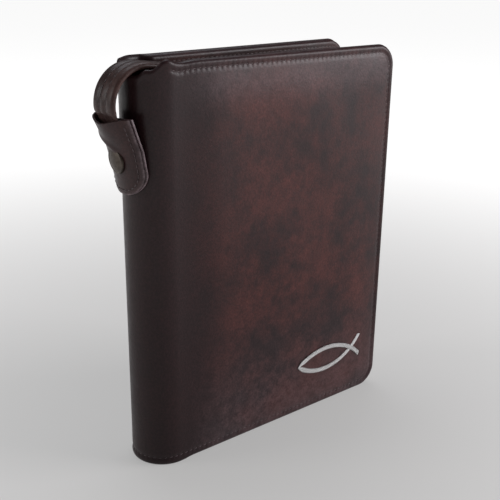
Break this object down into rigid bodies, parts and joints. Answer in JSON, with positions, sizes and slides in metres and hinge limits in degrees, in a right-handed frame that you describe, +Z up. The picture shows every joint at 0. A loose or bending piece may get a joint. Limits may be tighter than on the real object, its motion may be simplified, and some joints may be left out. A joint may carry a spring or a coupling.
{
  "type": "bible",
  "caption": "Bible in a padded leather cover with sewn edges, an embroidered fish and a carrying loop that closes with a press stud.",
  "frame": {"origin": "under the middle of the whole standing object, on the surface it stands on", "axes": "+Z up along the spine, +X from the spine to the fore-edge, the front cover faces -Y"},
  "size_m": [0.1719, 0.043, 0.205],
  "materials": {
    "cover_leather": "glazed grain, dark oxblood brown",
    "lining_leather": "smooth glazed, dark brown",
    "seam_thread": "matt twisted thread",
    "embroidery_thread": "satin stitch",
    "padding_foam": "soft open foam",
    "stiff_board": "plain grey board",
    "book_cloth": "fine grained black",
    "page_paper": "thin cream paper",
    "mull_cloth": "open weave",
    "band_cloth": "striped woven band",
    "antique_brass": "darkened antique brass"
  },
  "bodies": {
    "spine": {"spine_leather": "cover_leather", "spine_lining": "lining_leather", "spine_seam_thread": "seam_thread", "book_spine": "book_cloth", "spine_mull": "mull_cloth", "binding_block": "page_paper", "head_band": "band_cloth", "tail_band": "band_cloth", "handle_anchor": "lining_leather", "strap_root": "cover_leather", "snap_stud": "antique_brass", "snap_rivet": "antique_brass"},
    "front_cover": {"front_book_board": "book_cloth", "front_cover_board": "stiff_board", "front_cover_leather": "cover_leather", "front_cover_lining": "lining_leather", "front_cover_padding": "padding_foam", "front_pastedown": "page_paper", "front_seam_thread": "seam_thread", "front_sleeve_flap": "lining_leather", "fish_embroidery": "embroidery_thread"},
    "back_cover": {"back_book_board": "book_cloth", "back_cover_board": "stiff_board", "back_cover_leather": "cover_leather", "back_cover_lining": "lining_leather", "back_cover_padding": "padding_foam", "back_pastedown": "page_paper", "back_seam_thread": "seam_thread", "back_sleeve_flap": "lining_leather"},
    "front_pages": {"front_pages": "page_paper"},
    "back_pages": {"back_pages": "page_paper"},
    "front_flyleaf": {"front_flyleaf": "page_paper"},
    "back_flyleaf": {"back_flyleaf": "page_paper"},
    "handle": {"handle_strap": "cover_leather", "strap_seam_thread": "seam_thread", "tab_back": "cover_leather", "tab_front": "cover_leather", "tab_seam_thread": "seam_thread", "snap_cap": "antique_brass", "snap_socket": "antique_brass"}
  },
  "joints": [
    {"name": "front_cover_hinge", "type": "hinge", "parent": "spine", "child": "front_cover", "pos_m": [-0.05771, -0.0165, 0.1025], "axis": [0, 0, -1], "range_deg": [0, 130]},
    {"name": "front_pages_turn", "type": "hinge", "parent": "spine", "child": "front_pages", "pos_m": [-0.05756, -0.01, 0.1025], "axis": [0, 0, -1], "range_deg": [0, 74.3]},
    {"name": "front_flyleaf_turn", "type": "hinge", "parent": "spine", "child": "front_flyleaf", "pos_m": [-0.05756, -0.01015, 0.1025], "axis": [0, 0, -1], "range_deg": [0, 79.5]},
    {"name": "back_cover_hinge", "type": "hinge", "parent": "spine", "child": "back_cover", "pos_m": [-0.05771, 0.0165, 0.1025], "axis": [0, 0, 1], "range_deg": [0, 130]},
    {"name": "back_pages_turn", "type": "hinge", "parent": "spine", "child": "back_pages", "pos_m": [-0.05756, 0.01, 0.1025], "axis": [0, 0, 1], "range_deg": [0, 74.3]},
    {"name": "back_flyleaf_turn", "type": "hinge", "parent": "spine", "child": "back_flyleaf", "pos_m": [-0.05756, 0.01015, 0.1025], "axis": [0, 0, 1], "range_deg": [0, 79.5]},
    {"name": "handle_lift", "type": "hinge", "parent": "spine", "child": "handle", "pos_m": [-0.06463, 0, 0.20382], "axis": [0, 1, 0], "range_deg": [0, 90]}
  ],
  "couplings": [
    {"joint": "front_pages_turn", "follows": "front_cover_hinge", "ratio": 0.57},
    {"joint": "front_flyleaf_turn", "follows": "front_cover_hinge", "ratio": 0.61},
    {"joint": "back_pages_turn", "follows": "back_cover_hinge", "ratio": 0.57},
    {"joint": "back_flyleaf_turn", "follows": "back_cover_hinge", "ratio": 0.61}
  ]
}
